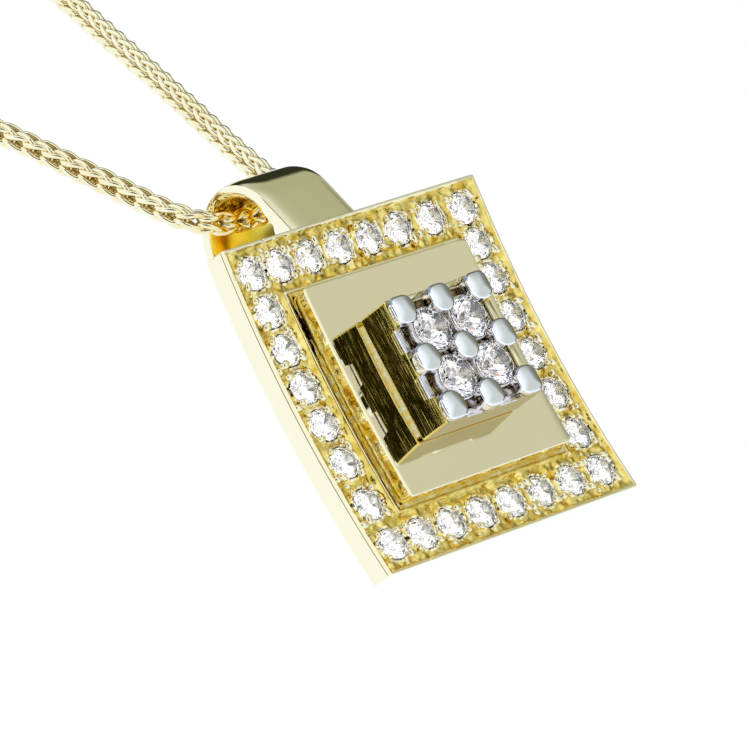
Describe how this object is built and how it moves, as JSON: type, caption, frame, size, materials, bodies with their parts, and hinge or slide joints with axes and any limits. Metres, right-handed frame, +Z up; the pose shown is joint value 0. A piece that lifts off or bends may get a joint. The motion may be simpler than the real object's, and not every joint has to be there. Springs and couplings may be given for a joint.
{
  "type": "cube pendant",
  "caption": "Square yellow gold pendant with a pave border, a raised plate and a gold cube with a white gold stone head, hanging from a wheat chain.",
  "frame": {"origin": "the neck side of the clasp, at the nape, where the worn necklace rests", "axes": "+Z up, -Y the way the pendant faces, +X to the right of somebody looking at the pendant"},
  "size_m": [0.1058, 0.1264, 0.1213],
  "materials": {
    "yellow_gold": "polished yellow gold",
    "chain_gold": "polished yellow gold wire",
    "white_gold": "polished white gold",
    "stone": "clear cut stone"
  },
  "bodies": {
    "necklace": {"chain": "chain_gold", "clasp": "yellow_gold"},
    "pendant": {"frame_and_bail": "yellow_gold", "centre_plate": "yellow_gold", "gold_cube": "yellow_gold", "stone_head": "white_gold", "head_stone_1": "stone", "head_stone_2": "stone", "head_stone_3": "stone", "head_stone_4": "stone", "pave_stone_1": "stone", "pave_stone_2": "stone", "pave_stone_3": "stone", "pave_stone_4": "stone", "pave_stone_5": "stone", "pave_stone_6": "stone", "pave_stone_7": "stone", "pave_stone_8": "stone", "pave_stone_9": "stone", "pave_stone_10": "stone", "pave_stone_11": "stone", "pave_stone_12": "stone", "pave_stone_13": "stone", "pave_stone_14": "stone", "pave_stone_15": "stone", "pave_stone_16": "stone", "pave_stone_17": "stone", "pave_stone_18": "stone", "pave_stone_19": "stone", "pave_stone_20": "stone", "pave_stone_21": "stone", "pave_stone_22": "stone", "pave_stone_23": "stone", "pave_stone_24": "stone", "pave_stone_25": "stone", "pave_stone_26": "stone", "pave_stone_27": "stone", "pave_stone_28": "stone"}
  },
  "joints": [
    {"name": "pendant_swing", "type": "hinge", "parent": "necklace", "child": "pendant", "pos_m": [0, -0.12, -0.103], "axis": [1, 0, 0], "range_deg": [-120, 120]}
  ]
}
